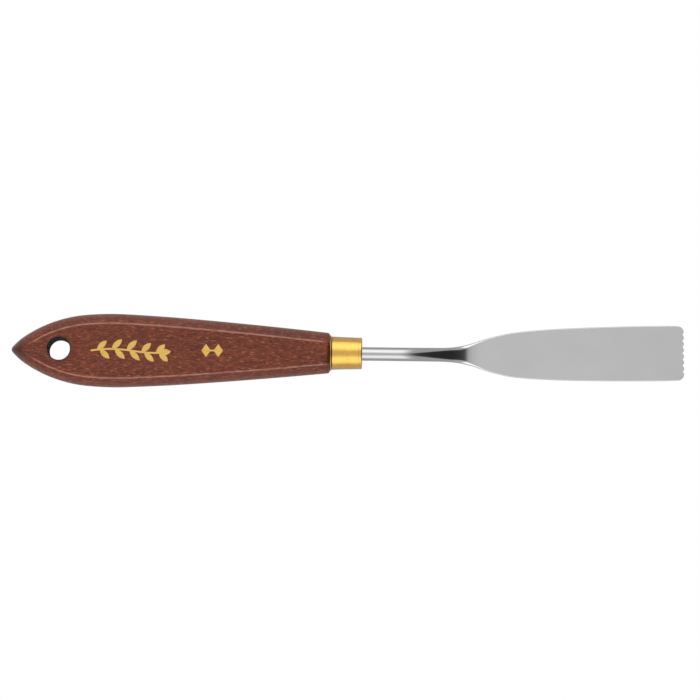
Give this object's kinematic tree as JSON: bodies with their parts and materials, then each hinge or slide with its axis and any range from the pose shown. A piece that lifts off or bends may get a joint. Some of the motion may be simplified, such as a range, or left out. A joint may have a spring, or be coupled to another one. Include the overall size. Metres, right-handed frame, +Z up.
{
  "type": "palette knife",
  "caption": "Cranked palette knife: flat flexible blade with a finely notched square end, brass ferrule and a flat-sided lacquered wood handle with a hanging hole.",
  "frame": {"origin": "centre of the bounding box in X and Y, on the table the knife lies on", "axes": "+X from the tail of the handle to the end of the blade, +Y across the knife, +Z up off the table"},
  "size_m": [0.2102, 0.0228, 0.0128],
  "materials": {
    "handle_wood": "red-brown stain under satin lacquer, grain along the handle",
    "ferrule_brass": "drawn and lightly polished",
    "blade_steel": "satin-ground blade, brighter polished shank",
    "adhesive": "cured resin, hidden in the bore",
    "gold_foil": "hot-stamped gold foil, slightly worn"
  },
  "bodies": {
    "root": {"handle": "handle_wood", "ferrule": "ferrule_brass", "blade": "blade_steel", "tang_adhesive": "adhesive", "foil_sprig": "gold_foil", "foil_lozenges": "gold_foil"}
  },
  "joints": []
}
